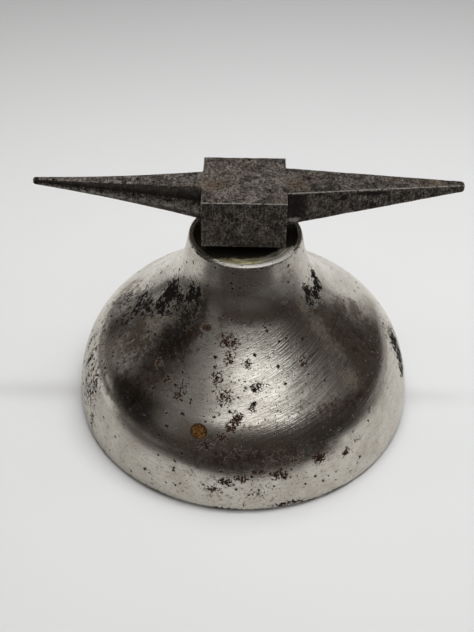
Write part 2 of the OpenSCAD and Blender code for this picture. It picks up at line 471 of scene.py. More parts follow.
# The bell
STEEL = (0.66, 0.645, 0.605)
STEEL_DULL = (0.53, 0.505, 0.46)
STEEL_SCORED = (0.3, 0.275, 0.245)
STEEL_MOTTLED = (0.33, 0.305, 0.27)
STEEL_GRAIN = (0.2, 0.175, 0.15)
# Rubbed steel, also a painted highlight on the rounded top of the neck's rim
RIM_RUBBED_HIGHLIGHT = (0.8, 0.785, 0.73)
SCRATCH_DARK = (0.2, 0.18, 0.155)
SCRATCH_BRIGHT = (0.86, 0.85, 0.81)
FILM = (0.168, 0.13, 0.1)
TAN = (0.27, 0.22, 0.15)
HAZE = (0.42, 0.4, 0.37)
# Black of the stains, also of the painted contact shadow and the painted dark line at the rim
STAIN_AND_SHADE_BLACK = (0.0075, 0.0064, 0.0058)
STAIN_BROWN = (0.034, 0.026, 0.02)
PIT_BROWN = (0.045, 0.022, 0.011)
SPOT_BROWN = (0.045, 0.019, 0.006)
SPOT_ORANGE = (0.165, 0.085, 0.026)

# The stake
PATINA_DARK = (0.03, 0.026, 0.023)
PATINA_PALE = (0.15, 0.136, 0.12)
PATINA_BROWN = (0.125, 0.098, 0.085)
PATINA_RUST = (0.135, 0.082, 0.05)
PATINA_TINT = (0.27, 0.18, 0.085)
PATINA_BLACK = (0.01, 0.008, 0.007)
FILED_BRIGHT = (0.36, 0.34, 0.31)
FILED_DARK = (0.02, 0.016, 0.014)
GRAIN_BRIGHT = (0.42, 0.4, 0.365)
DUST_BRIGHT = (0.38, 0.36, 0.33)
DUST_DARK = (0.012, 0.01, 0.009)
# Black of the stake's dark marks, also of the painted shade low on the block's front
SOOT_AND_SHADE = (0.016, 0.013, 0.012)
STAKE_BARE = (0.46, 0.45, 0.42)
STAKE_WORN = (0.56, 0.55, 0.52)

# The socket
BRASS = (0.72, 0.68, 0.42)
BRASS_DULL = (0.3, 0.26, 0.15)
# Painted highlight on the socket's right side
BRASS_PAINTED_HIGHLIGHT = (0.62, 0.6, 0.52)
BRASS_STREAK = (0.1, 0.085, 0.05)
# Painted shadow of the stake's block on the flange
BRASS_PAINTED_SHADOW = (0.012, 0.01, 0.008)


def ring_coordinates(g, place):
    """Unit direction from the axis, and a number in mm that runs down the side of a turned piece."""
    x, y, z = g.split(place)
    flat = g.join(x, y, 0.0)
    around = g.vector("NORMALIZE", flat)
    down = g.minus(z, g.vector("LENGTH", flat))
    return around, down


def brushed(g, around, down, length, width):
    """Noise drawn out round the axis: length in radians and width in mm of one streak."""
    ux, uy, _ = g.split(around)
    vector = g.join(g.math("DIVIDE", ux, length), g.math("DIVIDE", uy, length),
                    g.math("DIVIDE", down, width))
    return g.noise(vector, 1.0, detail=2.0, roughness=0.6)


def centred(g, value, gain):
    """A noise value moved to zero and multiplied."""
    return g.times(g.minus(value, 0.5), gain)


def ragged(g, name, low, high, *noises):
    """A step from low to high of an attribute whose edge is broken up by (noise, gain) pairs."""
    return g.step(g.plus(g.attribute(name), *(centred(g, *noise) for noise in noises)), low, high)


def bell_noise(g, place):
    """The noises that break up the bell's marks. The brushed ones run round the axis."""
    around, down = ring_coordinates(g, place)
    slanted = g.line(g.split(around)[0], -13.0, down)
    return SimpleNamespace(
        fine=brushed(g, around, down, 0.14, 0.33),
        coarse=brushed(g, around, down, 0.3, 0.6),
        scratch=brushed(g, around, slanted, 0.34, 0.38),
        cloud=g.noise(place, 0.16, detail=4.0, roughness=0.6),
        patchy=g.noise(place, 0.45, detail=5.0, roughness=0.7, distortion=0.4),
        mottle=g.noise(place, 0.95, detail=5.0, roughness=0.75, distortion=0.5),
        speckle=g.noise(place, 1.9, detail=4.0, roughness=0.7, distortion=0.7),
        grain=g.noise(place, 3.6, detail=3.0, roughness=0.7))


def bell_wear(g, place, z, n):
    """How much there is of each kind of wear, painted shade and painted highlight: the marks' attributes,
    broken up by the noises.
    """
    # Darker towards the bottom edge: a painted contact shadow, broken up by the stains' noise
    lip = g.times(g.step(z, 1.7, 0.7, 0.0, 0.78), g.step(n.cloud, 0.4, 0.54, 0.5, 1.0))
    # A painted dark line just under the rim's top, for the dark room mirrored in its rounded edge
    painted_rim_line = g.times(g.step(z, RIM_Z - 0.9, RIM_Z - 0.6), g.step(z, RIM_Z - 0.25, RIM_Z - 0.4, 0.0, 0.6))
    stains_and_painted_shade = g.most(g.attribute("stain"), lip, painted_rim_line)
    stain = g.step(g.plus(stains_and_painted_shade, centred(g, n.mottle, 2.8), centred(g, n.speckle, 1.4)), 0.48, 0.8)
    film = ragged(g, "film", 0.25, 0.95, (n.patchy, 1.6), (n.mottle, 2.6))
    rust = ragged(g, "rust", 0.62, 0.84, (n.speckle, 3.2))
    # Specks and pits are thicker where the attribute says so
    crowd = g.attribute("specks")
    specks = g.step(g.line(crowd, 0.1, n.speckle), 0.69, 0.725)
    wobble = g.vector("ADD", place, g.scaled(g.join(n.grain, n.mottle, n.speckle), 1.6))
    distance, chance = g.cells(wobble, 0.62)
    reach = g.line(chance, 0.36, g.line(crowd, 0.09, -0.17))
    pits = g.most(g.step(g.minus(distance, reach), 0.05, 0.0), specks)
    ring = g.plus(g.attribute("spot"), centred(g, n.speckle, 0.45))
    spot = g.step(ring, 0.4, 0.5)
    return SimpleNamespace(
        # stain also holds the painted contact shadow and the painted dark line at the rim
        stain=stain, rust=rust, pits=pits, spot=spot, matt=g.most(rust, pits, spot, stain),
        spot_rim=g.times(spot, g.step(ring, 0.82, 0.52)),
        film=g.times(film, g.step(g.attribute("film"), 0.02, 0.3)),
        scuff=g.times(g.attribute("scuff"), g.step(n.patchy, 0.3, 0.52, 0.35, 1.0)),
        tan=ragged(g, "tan", 0.3, 1.1, (n.mottle, 2.6)),
        haze=g.times(g.attribute("haze"), g.step(n.mottle, 0.3, 0.55, 0.6, 1.0)),
        # rubbed is partly rubbed wear and partly a painted highlight on the rim's top
        rubbed=ragged(g, "rubbed", 0.35, 0.75, (n.fine, 1.6)))


def bell_colour(g, n, w):
    """Steel in rings, then the wear, painted shade and painted highlight in the order in which they lie on
    it.
    """
    scored = g.times(g.step(n.fine, 0.5, 0.66), g.step(n.patchy, 0.35, 0.6))
    return g.coats(
        g.mix(g.step(n.cloud, 0.38, 0.68), STEEL, STEEL_DULL),
        (scored, g.line(w.scuff, 0.3, 0.45), STEEL_SCORED),
        (g.step(n.scratch, 0.47, 0.4), g.times(w.scuff, 0.7), SCRATCH_DARK),
        (g.step(n.scratch, 0.54, 0.6), g.times(w.scuff, 0.8), SCRATCH_BRIGHT),
        (g.step(n.mottle, 0.5, 0.66), 0.45, STEEL_MOTTLED),
        (g.step(n.grain, 0.56, 0.66), 0.5, STEEL_GRAIN),
        (w.film, 0.88, FILM),
        (w.tan, 0.75, TAN),
        (w.haze, 0.5, HAZE),
        (w.stain, 1.0, g.mix(g.step(n.grain, 0.48, 0.72), STAIN_AND_SHADE_BLACK, STAIN_BROWN)),
        (w.rust, 1.0, g.mix(g.step(n.grain, 0.46, 0.64), RUST_DARK, RUST_ORANGE)),
        (w.pits, 1.0, g.mix(g.step(n.mottle, 0.52, 0.66), RUST_DARK, PIT_BROWN)),
        (w.spot, 1.0, g.mix(g.step(n.speckle, 0.42, 0.6), SPOT_BROWN, SPOT_ORANGE)),
        (w.spot_rim, 0.75, RUST_DARK),
        (w.rubbed, 1.0, RIM_RUBBED_HIGHLIGHT))


def bell_material():
    """Worn polished steel with brushed rings, a brown film, black stains, rust clusters and pits, with a
    painted contact shadow along the bottom edge, a painted dark line under the rim's top and a painted
    highlight on the rim.
    """
    material, g, place = new_material("bell_steel")
    z = g.split(place)[2]
    n = bell_noise(g, place)
    w = bell_wear(g, place, z, n)
    rough = g.plus(g.line(n.fine, 0.12, 0.075), g.step(n.cloud, 0.4, 0.7, 0.0, 0.07),
                   g.step(n.grain, 0.5, 0.72, 0.0, 0.09), g.times(w.film, 0.08),
                   g.times(w.tan, 0.15), g.step(z, 34.0, 40.0, 0.0, 0.09))
    height = g.plus(g.times(n.fine, g.line(w.scuff, 0.008, 0.008)), g.times(n.scratch, w.scuff, 0.05),
                    g.times(n.coarse, 0.006), g.times(n.grain, 0.0015), g.times(w.pits, -0.007),
                    g.times(w.rust, n.grain, 0.02), g.times(w.stain, n.mottle, -0.02))
    metallic = g.times(g.blend(w.matt, 1.0, 0.0), g.blend(w.rubbed, 1.0, 0.45),
                       g.blend(w.tan, 1.0, 0.78), g.blend(w.haze, 1.0, 0.72))
    g.surface(Base_Color=bell_colour(g, n, w), Metallic=metallic, Roughness=g.blend(w.matt, rough, 0.7),
              Specular_IOR_Level=g.blend(w.matt, 0.5, 0.06), Normal=g.bump(height))
    return material


def stake_material():
    """Dark grey-brown patina with file marks and pits, and edges worn to bright steel; painted light makes
    the faces that look up lighter and the sides darker, and painted shade darkens the block's front low down.
    """
    material, g, place = new_material("stake_patina")
    file_marks = g.noise(g.vector("MULTIPLY", place, (3.4, 1.8, 0.48)), 1.0, detail=4.0, roughness=0.65)
    mottle = g.noise(place, 1.15, detail=5.0, roughness=0.75)
    grain = g.noise(place, 1.9, detail=4.0, roughness=0.8)
    cloud = g.noise(place, 0.2, detail=3.0)
    blotch = g.noise(place, 0.5, detail=3.0, roughness=0.6, distortion=0.3)
    dust = g.noise(place, 3.6, detail=2.0, roughness=0.7)

    wobble = g.vector("ADD", place, g.scaled(g.join(grain, mottle, cloud), 1.2))
    distance, chance = g.cells(wobble, 0.95)
    pits = g.step(g.minus(distance, g.line(chance, 0.42, -0.22)), 0.08, 0.0)
    worn = ragged(g, "edge", 0.68, 1.05, (grain, 1.3), (mottle, 1.5))
    bare = ragged(g, "bare", 0.5, 0.95, (mottle, 1.4))
    # Black patches, and painted shade low on the block's front
    soot_and_shade = ragged(g, "soot_and_shade", 0.3, 0.75, (mottle, 0.9))
    rust = g.times(g.step(cloud, 0.48, 0.62), g.step(mottle, 0.46, 0.62), g.minus(1.0, soot_and_shade))
    tint = g.times(g.attribute("tint"), g.step(grain, 0.4, 0.6))
    upward = g.attribute("top")
    bright = g.step(upward, 0.2, 0.9, 0.85, 0.62)

    base = g.coats(
        g.mix(g.step(mottle, 0.38, 0.62), PATINA_DARK, PATINA_PALE),
        (g.step(blotch, 0.44, 0.6), 0.55, PATINA_BROWN),
        (g.step(file_marks, 0.5, 0.64), 0.54, FILED_BRIGHT),
        (g.step(file_marks, 0.46, 0.32), 0.7, FILED_DARK),
        (g.step(grain, 0.54, 0.64), bright, GRAIN_BRIGHT),
        (g.step(dust, 0.58, 0.66), bright, DUST_BRIGHT),
        (g.step(dust, 0.42, 0.34), 0.7, DUST_DARK),
        (g.step(grain, 0.47, 0.39), 0.9, PATINA_BLACK))
    # Painted light: faces that look up are lighter and the sides darker, times blotches that vary at random
    lighter = g.times(g.step(upward, 0.2, 0.9, 0.74, 1.22), g.step(blotch, 0.36, 0.62, 0.62, 1.4))
    base = g.coats(
        g.scaled(base, lighter),
        (soot_and_shade, 0.9, SOOT_AND_SHADE),
        (rust, 0.35, PATINA_RUST),
        (tint, 0.7, PATINA_TINT),
        (pits, 1.0, PATINA_BLACK),
        (bare, 0.8, STAKE_BARE),
        (worn, 0.85, STAKE_WORN))
    polished = g.most(worn, bare)
    rough = g.blend(pits, g.blend(polished, g.line(mottle, 0.3, 0.28), 0.32), 0.8)
    height = g.plus(g.times(file_marks, 0.035), g.times(grain, 0.03), g.times(pits, -0.08))
    g.surface(Base_Color=base, Metallic=g.blend(polished, 0.6, 0.8), Roughness=rough,
              Specular_IOR_Level=0.3, Normal=g.bump(height))
    return material


def brass_material():
    """Dull turned brass with fine rings; painted shadow of the stake makes it black towards the stake,
    leaving clean brass at the flange's front edge, and a painted highlight pales its right side.
    """
    material, g, place = new_material("socket_brass")
    around, down = ring_coordinates(g, place)
    x, y, z = g.split(place)
    from_axis = g.vector("LENGTH", g.join(x, y, 0.0))
    rings = brushed(g, around, down, 0.6, 0.12)
    streaks = g.step(brushed(g, around, down, 0.5, 0.4), 0.44, 0.58)
    tarnish = g.noise(place, 0.6, detail=5.0, roughness=0.65)
    # Painted shadow of the stake's block: black towards the middle of the flange and behind, so only its
    # front edge shows lit
    inner = g.step(g.plus(from_axis, centred(g, tarnish, 1.6)), 9.2, 8.3)
    behind = g.step(g.plus(g.line(x, -0.32, y), centred(g, tarnish, 3.0)), -8.0, -6.8)
    on_flange = g.step(z, FLANGE_Z - FLANGE_T - 3.0, FLANGE_Z - FLANGE_T - 1.0)
    painted_stake_shadow = g.times(g.most(inner, behind), on_flange)
    base = g.coats(
        g.mix(g.step(tarnish, 0.35, 0.7), BRASS, BRASS_DULL),
        # The pale right side is a painted highlight
        (g.step(x, 1.5, 5.0), 1.0, BRASS_PAINTED_HIGHLIGHT),
        (streaks, 0.7, BRASS_STREAK),
        (painted_stake_shadow, 0.97, BRASS_PAINTED_SHADOW))
    rough = g.plus(g.line(tarnish, 0.3, 0.22), g.times(painted_stake_shadow, 0.3))
    g.surface(Base_Color=base, Metallic=g.blend(painted_stake_shadow, 0.55, 0.0), Roughness=rough,
              Specular_IOR_Level=g.blend(painted_stake_shadow, 0.5, 0.1), Normal=g.bump(g.times(rings, 0.012)))
    return material


def turned_steel(name, bright, dull, ring_width, roughness):
    """Plain turned steel for the parts under the bell."""
    material, g, place = new_material(name)
    around, down = ring_coordinates(g, place)
    rings = brushed(g, around, down, 0.8, ring_width)
    blotch = g.noise(place, 0.45, detail=5.0, roughness=0.65)
    speck = g.noise(place, 2.6, detail=3.0)
    base = g.mix(g.step(blotch, 0.35, 0.68), bright, dull)
    base = g.mix(g.step(speck, 0.66, 0.74), base, RUST_ORANGE)
    rough = g.line(blotch, 0.25, roughness)
    g.surface(Base_Color=base, Metallic=1.0, Roughness=rough, Normal=g.bump(g.times(rings, 0.015)))
    return material


def cast_material():
    """Rough cast iron for the slug inside the bell."""
    material, g, place = new_material("ballast_iron")
    sand = g.noise(place, 1.6, detail=6.0, roughness=0.7)
    blotch = g.noise(place, 0.2, detail=3.0)
    base = g.mix(blotch, (0.06, 0.056, 0.052), (0.13, 0.12, 0.11))
    g.surface(Base_Color=base, Metallic=0.6, Roughness=g.line(sand, 0.3, 0.5),
              Normal=g.bump(g.times(sand, 0.12)))
    return material


def leather_material():
    """Brown leather with a pebbled grain, flattened and darkened by use."""
    material, g, place = new_material("pad_leather")
    warped = g.vector("ADD", place, g.scaled(g.join(g.noise(place, 1.1), g.noise(place, 0.9), 0.0), 0.6))
    distance, chance = g.cells(warped, 1.5)
    crease = g.step(distance, 0.25, 0.6)
    blotch = g.noise(place, 0.14, detail=4.0)
    fibre = g.noise(place, 5.0, detail=3.0)
    base = g.mix(blotch, (0.085, 0.04, 0.018), (0.17, 0.085, 0.042))
    base = g.mix(g.times(crease, 0.6), base, (0.04, 0.02, 0.01))
    height = g.minus(g.times(fibre, 0.03), g.times(crease, 0.09))
    g.surface(Base_Color=base, Roughness=g.line(chance, 0.15, 0.6), Normal=g.bump(height))
    return material


# ---- the bell

# Marks on the bell: azimuth from the front towards the square horn in degrees, height in mm,
# half-width round the bell in mm, half-height along its side in mm, and strength
STAINS = [
    (-70, 32.3, 2.8, 2.4, 1.25), (-59, 33.4, 2.2, 1.8, 0.9), (-50, 35, 1.7, 2.4, 1.1), (-43, 36.2, 1, 2, 1),
    (-68, 29.8, 3.4, 1.7, 1.1), (-76, 27.4, 4.2, 1.8, 0.9), (-86, 25.8, 4.2, 2.2, 0.85),
    (-80, 23.2, 3.6, 1.5, 0.78), (-38, 33, 1.2, 3.4, 0.75), (-98, 22, 4.5, 2.6, 0.66),
    (-57, 31.6, 3.4, 2.4, 0.66), (-66, 12, 2.2, 5, 0.7), (-78, 14, 1.4, 4, 0.75),
    (82, 34.6, 1.4, 1.8, 1.15), (76, 33.2, 1.7, 1.5, 1.15), (68, 33, 2, 1.5, 1.15), (60, 34.2, 1.5, 2, 1.1),
    (58, 32.4, 1.4, 1, 0.95), (-86, 15, 1, 4, 0.65), (-72, 10.5, 1.2, 5, 0.65), (-62, 5, 1.2, 3, 0.6),
    (87, 15.6, 3.2, 1.9, 1.1), (84, 13.4, 3, 1.8, 1.1), (81, 11, 2.6, 1.7, 1.05), (150, 27, 7, 3.5, 0.75),
    (200, 14, 6, 3, 0.6),
]
FILMS = [
    (32, 18.9, 9, 1.3, 0.6), (46, 18.2, 6, 1.3, 0.65), (6, 18.8, 8, 0.9, 0.55), (-12, 10.5, 6, 3, 0.35),
    (-84, 25.5, 8, 3.6, 0.72), (-64, 23.8, 6.5, 3.2, 1), (-36, 30, 2.6, 5.5, 0.95),
    (-47, 26.5, 4.6, 4, 0.72), (-46, 22.5, 4, 2.4, 0.6), (-50, 18.5, 6, 3.4, 0.85), (-80, 22, 5, 2.6, 0.9),
    (-70, 10.5, 4, 6, 0.7), (0, 4, 9, 2, 0.35), (72, 24.5, 6, 4.5, 0.6), (79, 27.6, 3.2, 1.8, 1.1),
    (88, 24.6, 3.2, 1.8, 1.1), (84, 22, 3, 1.8, 0.8), (42, 40, 1.8, 1.8, 0.75), (2, 13.2, 13, 2.6, 0.7),
    (26, 13, 5, 2, 0.6), (-12, 33, 7, 3, 0.4), (90, 15.6, 4, 3, 1), (85, 12.4, 3, 2.6, 0.9),
    (-104, 22.6, 5, 2.4, 0.45), (160, 24, 14, 7, 0.6), (-150, 12, 12, 6, 0.5),
]
RUST_PATCHES = [
    (-26, 31.4, 1.1, 0.8, 1.15), (-10, 30, 2.6, 1.4, 0.95), (-8, 27.6, 1.6, 1.3, 0.85),
    (-13, 24.8, 1.8, 1.2, 0.85), (-8, 22.6, 2.2, 1.4, 0.85), (-2, 19.9, 1.3, 1, 1.1), (-4, 18.7, 1.3, 1, 1),
    (-7, 17.3, 1.5, 1, 1), (-12, 15.5, 1.8, 1, 1), (-28, 21.7, 2.3, 1.7, 0.9), (-35, 22.2, 1.1, 0.9, 0.95),
    (-44, 23.8, 0.9, 0.8, 1.15), (2, 26.9, 1.3, 1, 0.9), (33, 25.7, 1.4, 1.1, 0.95),
    (7, 23.8, 2.4, 0.9, 0.85), (4, 21.3, 1.1, 0.7, 0.9), (15, 31.8, 1, 0.8, 0.85),
    (46, 23.3, 0.8, 0.7, 0.9), (34, 18.9, 0.7, 0.9, 0.9), (50, 14.8, 0.7, 0.8, 0.9),
    (0, 14.6, 5, 1.5, 0.62), (12, 13.6, 5, 1.5, 0.68), (-9, 6.2, 1.8, 1.1, 1.05), (-5, 8.4, 2.4, 1.3, 1),
    (0, 9.4, 2.2, 1.2, 0.95), (5, 10.8, 2.6, 1.2, 0.9), (12, 9.8, 2.2, 1.6, 1), (26, 11.2, 1.6, 1.4, 1.2),
    (36, 9.8, 1.4, 0.8, 1.1), (18, 12.2, 2, 1, 0.8), (41, 11, 0.9, 0.7, 0.85), (15, 1.5, 3.8, 0.9, 1.05),
    (-32, 5.6, 1.2, 0.8, 0.8), (4, 5.4, 3, 1, 0.7), (165, 18, 4, 2.5, 0.8),
]
SPECKS = [
    (-14, 24, 15, 9, 1), (12, 21, 13, 9, 0.8), (0, 7.5, 20, 3.5, 1), (-76, 12, 8, 10, 1),
    (-85, 26, 16, 8, 1), (40, 30, 14, 7, 0.5), (-30, 5, 14, 5, 0.35), (40, 6, 12, 5, 0.3),
    (85, 22, 12, 9, 0.35), (180, 20, 30, 12, 0.7),
]
TANS = [
    (-57, 29.8, 3.6, 1.6, 0.9), (-66, 26.8, 3.6, 1.4, 0.8), (-74, 18.4, 4, 1.8, 0.7),
    (50, 33.2, 1.4, 2.4, 0.9), (52, 28.8, 2, 3, 0.9), (53, 24.6, 2.6, 2.8, 0.8), (50, 20.6, 2.6, 2, 0.9),
    (-94, 26.5, 3.4, 2, 0.6), (38, 36.8, 4, 2, 0.55), (-108, 21.6, 5, 2.4, 0.7), (-96, 24.6, 4, 2, 0.6),
]
HAZES = [
    (45, 38.6, 4, 2.2, 1), (60, 37, 3, 2.6, 0.9), (74, 35.8, 2.4, 1.8, 0.6), (22, 38.6, 3, 1.6, 0.55),
    (2, 36.6, 5, 1.2, 0.35),
]
SCUFFS = [
    (38, 24.5, 9, 5.5, 1), (22, 19.5, 9, 3, 0.9), (48, 18, 7, 2.6, 0.8), (5, 24, 9, 6, 0.55),
    (25, 29, 6, 4, 0.7), (170, 20, 16, 7, 0.6),
]
# The rim's top is lighter here: partly rubbed wear, partly a painted highlight on its rounded edge
RIM_RUBBED_AND_HIGHLIGHT = [
    (-12, 44.3, 5, 3, 0.8), (14, 44.3, 5, 3, 1), (40, 44.3, 5, 3, 1), (-170, 44.3, 6, 3, 0.8),
]
ORANGE_SPOT = [
    (-15.6, 17.5, 1.8, 1.2, 1),
]

# Brown film round the stains that lie below a height
HALO_SIZE, HALO_STRENGTH, HALO_TOP_Z = 1.35, 0.55, 34.5
# How far down the rim is rubbed bright and painted with a highlight, and how uneven the turned side is
RUBBED_DEPTH = 0.35
BELL_SWAY = 0.012


def marks(points, places, sharpness=1.0):
    """The strongest of soft-edged marks at each point of the bell. Sharpness above 1 hardens their edges."""
    azimuth = np.arctan2(points[:, 0], -points[:, 1])
    radius = np.hypot(points[:, 0], points[:, 1])
    level = np.zeros(len(points))
    for degrees, height, half_w, half_h, strength in places:
        apart = (azimuth - math.radians(degrees) + math.pi) % (2 * math.pi) - math.pi
        here = np.abs(apart) < 1.2
        reach = ((apart * radius / half_w) ** 2 + ((points[:, 2] - height) / half_h) ** 2) ** sharpness
        level = np.maximum(level, np.where(here, strength * np.exp(-0.7 * reach), 0))
    return level


def make_bell():
    """The turned shell, with a surface that is very slightly uneven."""
    segments, step, inner_step = 512, 0.24, 1.6
    side, rim = bell_side(0.0, step)
    seat_r = PLATE_R + FIT_GAP
    bore_r = SOCKET_R + FIT_GAP
    ledge_z = FLANGE_Z - FLANGE_T
    web_z = RIM_Z - NECK_DEPTH
    inner = [p for p in bell_side(WALL, inner_step)[0] if plate_high.z < p[1] < web_z][::-1]
    chamfer, seat_chamfer = 0.15, 0.4
    edge = arc_points(np.array([BASE_R - EDGE_ROUND, EDGE_Z]), EDGE_ROUND, 0, 90, 0.0, 0.2)[:-1]
    counterbore = FLANGE_R + FIT_GAP
    outline = [(seat_r + seat_chamfer, EDGE_Z)] + [tuple(p) for p in edge + side + rim]
    outline += [(counterbore + chamfer, RIM_Z), (counterbore, RIM_Z - chamfer), (counterbore, ledge_z),
                (bore_r, ledge_z), (bore_r, web_z), (inner[0][0], web_z)]
    outline += [tuple(p) for p in inner]
    outline += [(inner[-1][0], plate_high.z), (seat_r, plate_high.z), (seat_r, EDGE_Z + seat_chamfer)]

    def uneven(turn, r, z):
        outside = (r > NECK_R + 0.3) & (z > EDGE_Z + 1.0)
        sway = (np.sin(3 * turn + z * 0.11) + np.sin(5 * turn - z * 0.23 + 1.3)
                + np.sin(8 * turn + z * 0.35 + 0.4) + np.sin(2 * turn + z * 0.42 + 2.0))
        wall = np.clip((BASE_R - r) / 1.5, 0, 1)
        return r + np.where(outside, BELL_SWAY * sway * wall, 0)

    verts, faces = ring_grid(outline, segments, uneven)
    bell = add_piece("bell", verts, faces, "base", ["bell_base"], "bell_steel")
    points = vertex_points(bell)
    for name, places in (("stain", STAINS), ("rust", RUST_PATCHES), ("tan", TANS), ("haze", HAZES),
                         ("scuff", SCUFFS), ("specks", SPECKS)):
        set_attribute(bell, name, marks(points, places))
    halos = [(degrees, height, HALO_SIZE * half_w, HALO_SIZE * half_h, HALO_STRENGTH)
             for degrees, height, half_w, half_h, _ in STAINS if height < HALO_TOP_Z]
    set_attribute(bell, "film", np.maximum(marks(points, FILMS), marks(points, halos)))
    set_attribute(bell, "spot", marks(points, ORANGE_SPOT, sharpness=2.0))
    # The rim's rubbed wear and painted highlight
    set_attribute(bell, "rubbed", marks(points, RIM_RUBBED_AND_HIGHLIGHT) * (points[:, 2] > RIM_Z - RUBBED_DEPTH))
    dress(bell, bell_material())


# ---- the stake

ROUND_ROOT_R, ROUND_TIP_R, ROUND_HOLLOW = 4.8, 0.75, 0.35
ROUND_ROOT_DROP, ROUND_TIP_DROP = 3.85, 0.95
SQUARE_ROOT_W, SQUARE_ROOT_H, SQUARE_TIP = 9.4, 7.5, 1.5
TIP_ROUND = 0.45
HORN_ROOT = 2.0
STAKE_EDGE = 0.2
STAKE_VOXEL = 0.135


def tip_stations(length, degrees):
    """Places along a horn's rounded tip."""
    return [length - TIP_ROUND * (1 - math.sin(a)) for a in np.radians(degrees)]


def tip_inset(x, length):
    """How far the rounded tip of a horn lies inside its straight sides."""
    past = max(0.0, x - (length - TIP_ROUND))
    return TIP_ROUND * (1 - math.sqrt(max(0.0, 1 - (past / TIP_ROUND) ** 2)))


def round_horn():
    """Sections of the round horn from inside the block to its tip, cut flush with the face."""
    length = BLOCK_LEFT - stake_low.x
    sections = []
    stations = [-HORN_ROOT] + list(np.linspace(0, length - TIP_ROUND, 40))
    stations += tip_stations(length, [25, 50, 70, 85])
    for x in stations:
        t = min(max(x / (length - TIP_ROUND), 0), 1)
        radius = ROUND_ROOT_R + (ROUND_TIP_R - ROUND_ROOT_R) * t - 4 * ROUND_HOLLOW * t * (1 - t)
        drop = ROUND_ROOT_DROP + (ROUND_TIP_DROP - ROUND_ROOT_DROP) * t
        radius -= tip_inset(x, length)
        section = []
        for angle in np.linspace(0, 2 * math.pi, 72, endpoint=False):
            z = FACE_Z - drop + radius * math.sin(angle)
            section.append((BLOCK_LEFT - x, radius * math.cos(angle), min(z, FACE_Z)))
        sections.append(section)
    return loft(sections)


def square_horn():
    """Sections of the square horn from inside the block to its blunt tip."""
    length = stake_high.x - BLOCK_RIGHT
    sections = []
    for x in [-HORN_ROOT, 0.0, length - TIP_ROUND] + tip_stations(length, [30, 60, 90]):
        t = max(x, 0) / length
        half = (SQUARE_ROOT_W + (SQUARE_TIP - SQUARE_ROOT_W) * t) / 2
        deep = SQUARE_ROOT_H + (SQUARE_TIP - SQUARE_ROOT_H) * t
        inset = tip_inset(x, length)
        top, bottom, side = FACE_Z - inset, FACE_Z - deep + inset, half - inset
        sections.append([(BLOCK_RIGHT + x, -side, bottom), (BLOCK_RIGHT + x, side, bottom),
                         (BLOCK_RIGHT + x, side, top), (BLOCK_RIGHT + x, -side, top)])
    return loft(sections)


def edge_strength(piece):
    """How strongly the surface bulges at each vertex, from 0 on flats to 1 on outer edges."""
    mesh = piece.data
    points, normals = vertex_points(piece), vertex_values(piece, "normal")
    pairs = np.zeros(len(mesh.edges) * 2, np.int64)
    mesh.edges.foreach_get("vertices", pairs)
    a, b = pairs.reshape(-1, 2).T
    count = np.bincount(np.concatenate([a, b]), minlength=len(points)).astype(float)
    middle = np.zeros_like(points)
    for start, end in ((a, b), (b, a)):
        for axis in range(3):
            middle[:, axis] += np.bincount(start, points[end, axis], minlength=len(points))
    middle /= count[:, None]
    bulge = -((middle - points) * normals).sum(1)
    for _ in range(3):
        total = bulge * 1.0
        for start, end in ((a, b), (b, a)):
            total += np.bincount(start, bulge[end], minlength=len(points))
        bulge = total / (count + 1)
    return np.clip(bulge / 0.012, 0, 1)


def round_horn_angle(points):
    """How far along the round horn each point is, from 0 to 1, and its angle above the front in degrees."""
    along = (BLOCK_LEFT - points[:, 0]) / (BLOCK_LEFT - stake_low.x)
    drop = ROUND_ROOT_DROP + (ROUND_TIP_DROP - ROUND_ROOT_DROP) * np.clip(along, 0, 1)
    angle = np.degrees(np.arctan2(points[:, 2] - (FACE_Z - drop), -points[:, 1]))
    return along, angle


def blot(*spans, power=2):
    """1 at the middle of every span of (values, middle, half-width), fading to 0 beyond it."""
    return np.exp(-sum(((values - middle) / half) ** power for values, middle, half in spans))


def bare_places(points):
    """Where the patina is rubbed to lighter steel: strips along the round horn, a smear and a corner."""
    x, y, z = points.T
    below = FACE_Z - z
    along, angle = round_horn_angle(points)
    on_horn = np.clip(along / 0.02, 0, 1) * np.clip((1.0 - along) / 0.1, 0, 1)
    strip = 0.66 * blot((angle, -7, 24), power=4) * on_horn
    flecks = 0.42 * blot((angle, 70, 14), (along, 0.35, 0.3)) * on_horn
    smear = blot((x, BLOCK_RIGHT + 1.5, 2.4), (below, 6.3, 0.9)) * (y < 0)
    corner = 0.55 * blot((x, BLOCK_LEFT + 1.5, 2.2), (below, 9.0, 1.8)) * (y < -8)
    return np.maximum.reduce([strip, flecks, smear, corner])


def soot_and_shade_places(points):
    """Where the patina is black, a band along the front of the round horn and the square horn's root, and
    where painted shade darkens the block's front low down.
    """
    x, y, z = points.T
    below = FACE_Z - z
    along, angle = round_horn_angle(points)
    band = blot((angle, 37, 20), power=4) * (along > 0)
    underside = 0.8 * blot((angle, -46, 13), power=4) * (along > 0) * (along < 0.6)
    tip = (along > 0.965) * 1.0
    side = (below > 0.35) * (x > BLOCK_RIGHT)
    root = 1.05 * blot((x, BLOCK_RIGHT, 4.5)) * side
    under_edge = 0.9 * blot((x, 25.0, 5.0), (below, 0.8, 0.7)) * side
    side_pit = 1.3 * blot((x, 19.3, 0.8), (below, 1.6, 0.7)) * side
    top_pit = 1.3 * blot((x, 12.4, 0.55), (y, 0.9, 0.6)) * (below < 0.3)
    # Painted shade: darker towards the bottom of the block's front
    painted_shade_low_front = 0.62 * blot((x, 0.5, 5.5), (below, 10.2, 2.4)) * (y < -8)
    return np.maximum.reduce([band, underside, tip, root, under_edge, side_pit, top_pit, painted_shade_low_front])


